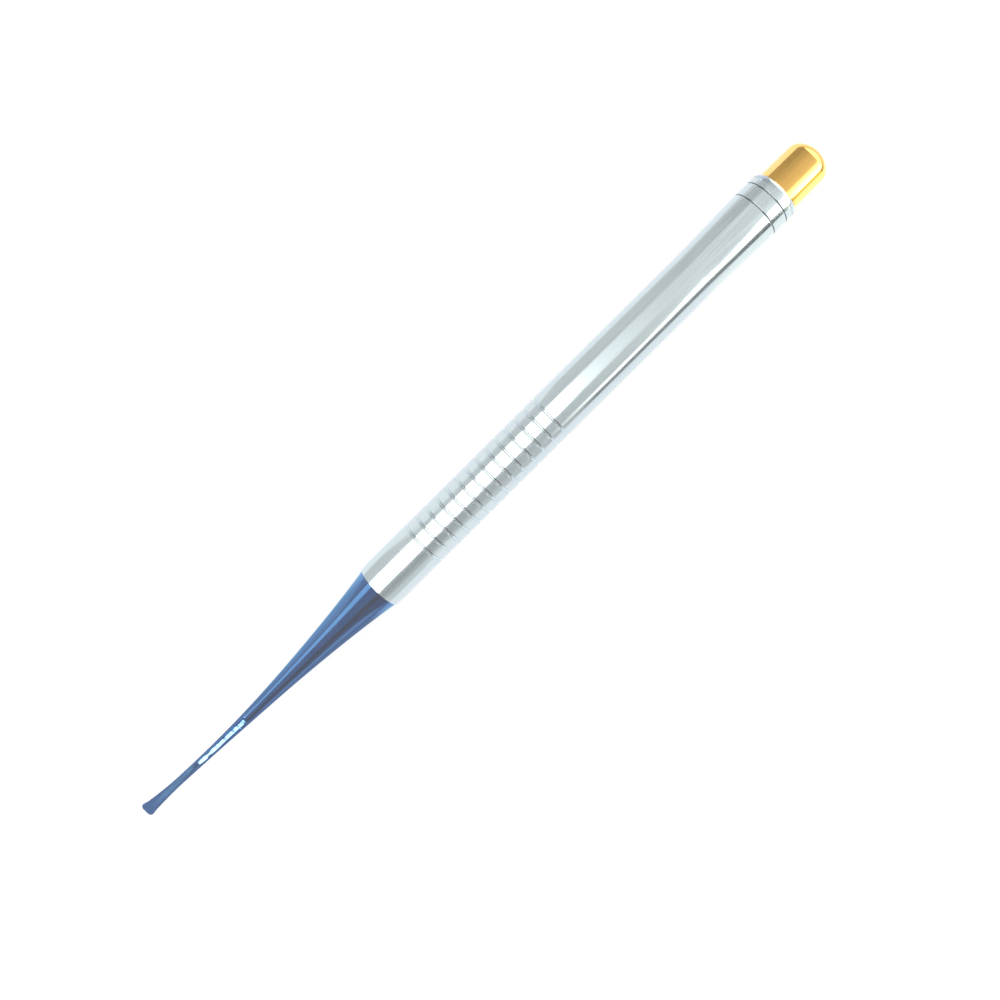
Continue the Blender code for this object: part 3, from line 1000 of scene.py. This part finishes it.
table_corners = [(x * TABLE_HALF, y * TABLE_HALF, TABLE_HEIGHT)
                 for x, y in ((-1, -1), (1, -1), (1, 1), (-1, 1))]
table_mesh = bpy.data.meshes.new("table")
table_mesh.from_pydata(table_corners, [], [(0, 1, 2, 3)])
table_mesh.materials.append(white_table())
table = bpy.data.objects.new("table", table_mesh)
bpy.context.scene.collection.objects.link(table)
print("table height in mm:", round(TABLE_HEIGHT / MM, 2), "with", len(TABLE_CARDS), "cards")

# %% [markdown]
# ## The light room
#
# Polished metal has hardly a colour of its own: it shows the room. Area lamps and cards could
# stand round the instrument. Painting the room on the world instead puts each edge exactly where
# the reflections need it, and it casts no hard shadow. A direction is given by two angles in
# degrees: `across`, which is 0 straight up and grows towards -Y, and `along`, which grows towards
# the butt.

# %% Directions in the room
room_world = bpy.data.worlds.new("light_room")
bpy.context.scene.world = room_world
room_world.use_nodes = True
room = room_world.node_tree
room.nodes.clear()

room_coordinates = add_node(room, "ShaderNodeTexCoord")
looking = add_node(room, "ShaderNodeSeparateXYZ", {0: room_coordinates.outputs["Generated"]})
toward_minus_y = sum_of(room, "MULTIPLY", looking.outputs["Y"], -1.0)
across = sum_of(room, "DEGREES", sum_of(room, "ARCTAN2", toward_minus_y, looking.outputs["Z"]))
along = sum_of(room, "DEGREES", sum_of(room, "ARCSINE", looking.outputs["X"]))
print("nodes that find a direction:", len(room.nodes))

# %% [markdown]
# A panel is a soft-edged window in those two angles, filled with a colour and laid over what is
# painted already. A card that isn't rectangular has an edge that moves with `along`.

# %% Helpers that paint a panel
def window_between(value, low, high, soft):
    """1 between two edges and 0 outside. An edge may be an output, and has its own softness."""
    def shifted(edge, by):
        is_output = isinstance(edge, bpy.types.NodeSocket)
        return sum_of(room, "ADD", edge, by) if is_output else edge + by

    low_soft, high_soft = soft if isinstance(soft, tuple) else (soft, soft)
    rise = soft_rise(room, value, shifted(low, -low_soft), shifted(low, low_soft))
    fall = soft_rise(room, value, shifted(high, -high_soft), shifted(high, high_soft))
    return sum_of(room, "MULTIPLY", rise, sum_of(room, "SUBTRACT", 1.0, fall))


def paint(under, colour, across_edges, along_edges, across_soft=1.5, along_soft=2.0):
    """Lays a panel over what is painted already. Its colour and its edges may be outputs."""
    share = sum_of(room, "MULTIPLY", window_between(across, *across_edges, across_soft),
                   window_between(along, *along_edges, along_soft))
    return blend_colours(room, share, under, colour)


def paint_all(under, panels):
    """Lays several panels, one over the other."""
    for panel in panels:
        under = paint(under, *panel)
    return under


def grey(level):
    """A neutral colour."""
    return (level, level, level, 1.0)


def along_slope(start, end, first, last):
    """A value that goes from first to last while `along` goes from start to end."""
    slope = add_node(room, "ShaderNodeMapRange", {
        "Value": along, "From Min": start, "From Max": end, "To Min": first, "To Max": last})
    return slope.outputs["Result"]


def bent(operation, first, second):
    """An edge or a level that bends once, where two slopes meet."""
    return sum_of(room, operation, first, second)


print("a mid grey:", grey(0.5))

# %% [markdown]
# ## The walls of the room
#
# In the photograph grey bands run down the two sides of the handle, and they are the walls of the
# room. They aren't even: they grow paler or darker along the handle, and a small white card
# stands low on each side of the grip grooves. Over the rear half of the handle the ceiling is
# nearly white, and beside the cap it is grey again.

# %% Walls and ceiling
everywhere = (-91, 91)
plus_y_card = bent("MINIMUM", along_slope(-11.8, -10.2, -98, -64), along_slope(-9, 1.2, -64, -93))
minus_y_card = bent("MAXIMUM", along_slope(-11.8, -10.2, 98, 71), along_slope(-10, -1.5, 71, 94))
walls = paint_all(grey(0.60), (
    # The wall on the +Y side, a paler strip above it, and the white card in front of it.
    (along_slope(9, 14, 0.76, 0.62), (-95, -45), everywhere),
    (grey(0.70), (-58, -45), (-11, 9), (4.0, 1.5)),
    (grey(1.06), (-98, plus_y_card), (-11.8, 2.4), 2.0, 0.8),
    # The wall on the -Y side from the top down, and the white card in front of it.
    (along_slope(-10, 8, 0.48, 0.82), (15, 52), everywhere),
    (along_slope(-10, 3, 0.58, 0.70), (50, 64), everywhere, 3.0),
    (along_slope(-10, 3, 0.78, 0.62), (63, 98), everywhere, 3.0),
    (grey(1.06), (minus_y_card, 98), (-11.8, 1), 2.0, 0.8),
    # The ceiling over the rear half of the handle, and its soft side towards -Y.
    (along_slope(3, 9, 1.30, 0.91), (-45, 15), (0, 91), 1.5, 1.5),
    (grey(1.03), (10, 45), (11, 91), 12.0, 4.0),
    # The greys above the butt and beside the cap.
    (grey(0.66), (-62, -22), (18.4, 91), (6.0, 20.0), 0.4),
    (grey(0.50), (-86, -52), (20.0, 50), 7.0, 1.0),
))
print("nodes so far:", len(room.nodes))

# %% [markdown]
# ## The room in front of the blade
#
# The blade looks into the front end of the room. A white room would turn its coating light blue,
# but in the photograph it is a deep blue that is slightly grey. So the front end is darker and
# warmer, with one pale greenish card on the +Y side, which draws the light line along the cone.

# %% The front end
front_end = (-91, -28.0)
front = paint_all(walls, (
    ((0.66, 0.58, 0.58, 1), (-98, -62), front_end, 5.0, 0.7),
    ((0.55, 0.45, 0.45, 1), (-66, 22), front_end, 4.0, 0.7),
    ((0.54, 0.34, 0.25, 1), (18, 50), front_end, 6.0, 0.7),
    ((0.54, 0.38, 0.34, 1), (50, 98), front_end, 4.0, 0.7),
    ((1.00, 1.22, 1.24, 1), (-56, -29), (-46, -27.6), 5.0, 0.6),
    ((0.64, 0.60, 0.62, 1), (-30, 30), (-91, -36), 5.0, 1.5),
))
print("nodes so far:", len(room.nodes))

# %% [markdown]
# ## The soft boxes
#
# The handle shows a broad white band on its front half, which is a soft box overhead. On its rear
# half a second, thin box draws a white line, with a dark card below it, and both narrow towards
# the butt. The cap sees four things: the bright end of the thin box, a yellow card and a dark one
# low on its -Y side, and a box behind the butt that lights the crown of its dome.

# %% Boxes and dark cards
long_box = along_slope(-26, -18, 6.0, 4.0)
thin_low = bent("MINIMUM", along_slope(7.5, 15.5, 60, 32), along_slope(0, 7.5, 65, 60))
thin_high = along_slope(5, 15, 71, 66)
dark_card = bent("MINIMUM", along_slope(2, 11, 0.60, 0.30), along_slope(12, 17, 0.30, 0.16))
dark_low = along_slope(5, 15, 73, 69)
boxes = paint_all(front, (
    (long_box, (-43.5, 16), (-27.3, 1.0), 1.2, (0.4, 2.0)),
    ((2.5, 2.45, 2.3, 1), (thin_low, thin_high), (2, 18.4), 1.2, (4.0, 0.4)),
    ((6.5, 6.5, 7.0, 1), (48, 75.5), (18.4, 50), (24.0, 2.0), 0.2),
    (dark_card, (dark_low, 90), (2, 18.4), (1.5, 1.0), (0.7, 0.3)),
    ((1.35, 1.40, 0.78, 1), (77.5, 91), (18.5, 50), 2.0, 0.2),
    (grey(0.35), (75, 89), (23, 50), 2.0, 1.5),
    ((3.0, 2.9, 2.7, 1), (-80, 79), (49, 91), 4.0, 3.0),
))
print("nodes that paint the room:", len(room.nodes))

# %% [markdown]
# The camera itself sees plain white behind everything, as the photograph's background is. Only
# the metal sees the painted room. Blender can keep a map of a world's bright parts and aim rays at
# them. This room is light all round, so the map gains nothing and doubles the render's time, and
# it is turned off.

# %% White for the camera, the room for the metal
painted = add_node(room, "ShaderNodeBackground", {"Color": boxes, "Strength": 1.0})
plain = add_node(room, "ShaderNodeBackground", {"Color": (1, 1, 1, 1), "Strength": 1.0})
ray = add_node(room, "ShaderNodeLightPath")
behind = add_node(room, "ShaderNodeMixShader",
                  {0: ray.outputs["Is Camera Ray"], 1: painted.outputs[0], 2: plain.outputs[0]})
add_node(room, "ShaderNodeOutputWorld", {"Surface": behind.outputs[0]})
room_world.cycles.sampling_method = "NONE"
bpy.context.scene.view_settings.view_transform = "Standard"
print("nodes in the whole room:", len(room.nodes))

# %% [markdown]
# ## The camera
#
# The photograph looks straight down on the instrument, which lies at 45 degrees across the
# picture. The small parallax between the near side and the outline of the handle gives the
# camera's height: about 18 cm. A small lens shift frames the instrument as the photograph does,
# without tilting the view.

# %% Camera
CAMERA_HEIGHT = 180.0 * MM
CAMERA_X = 16.50 * MM
SENSOR_WIDTH = 36.0
FOCAL_LENGTH = 34.93
LENS_SHIFT_X = -0.0507
LENS_SHIFT_Y = -0.0832
PICTURE_TURN = math.radians(-44.78)

camera_data = bpy.data.cameras.new("camera")
camera_data.sensor_width = SENSOR_WIDTH
camera_data.lens = FOCAL_LENGTH
camera_data.shift_x = LENS_SHIFT_X
camera_data.shift_y = LENS_SHIFT_Y
camera_data.clip_start = 10 * MM
camera_data.clip_end = 20.0
camera = bpy.data.objects.new("camera", camera_data)
camera.location = (CAMERA_X, 0.0, CAMERA_HEIGHT)
camera.rotation_euler = (0.0, 0.0, PICTURE_TURN)
bpy.context.scene.collection.objects.link(camera)
bpy.context.scene.camera = camera
print("width of view in degrees:", round(math.degrees(camera_data.angle_x), 1))
